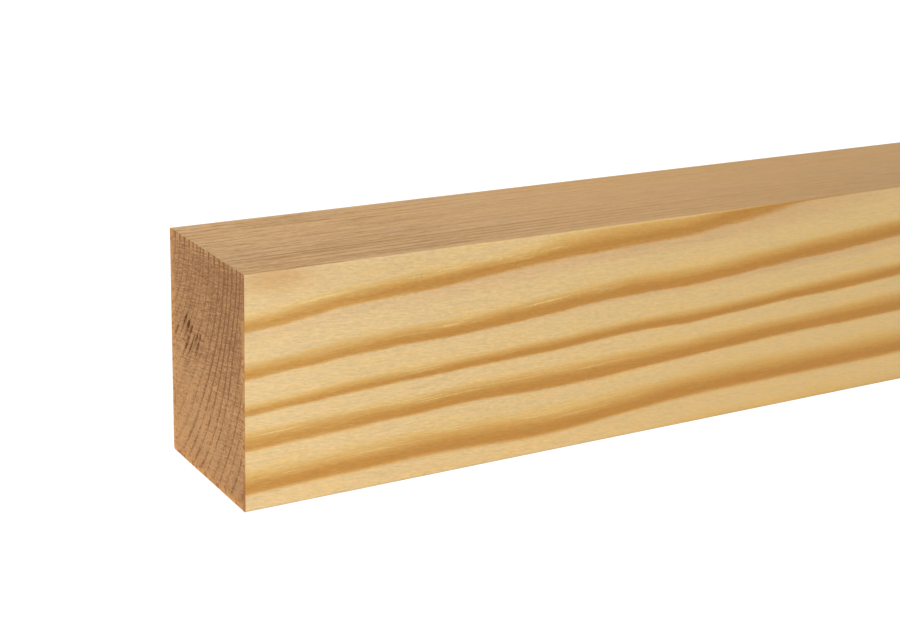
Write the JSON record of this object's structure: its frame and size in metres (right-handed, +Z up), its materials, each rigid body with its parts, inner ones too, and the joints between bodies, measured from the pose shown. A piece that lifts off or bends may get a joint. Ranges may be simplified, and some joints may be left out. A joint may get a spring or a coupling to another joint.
{
  "type": "planed softwood batten",
  "caption": "Near-square planed softwood batten with eased long arrises and square-sawn ends, one of them with torn grain, for framing and battening.",
  "frame": {"origin": "middle of the narrow planed face that the batten rests on", "axes": "+X along the grain, away from the sawn end with the torn grain, +Y across the narrow face, +Z up"},
  "size_m": [1, 0.034, 0.045],
  "materials": {
    "softwood": "planed bare softwood, satin, with sawn end grain"
  },
  "bodies": {
    "root": {"timber_batten": "softwood"}
  },
  "joints": []
}
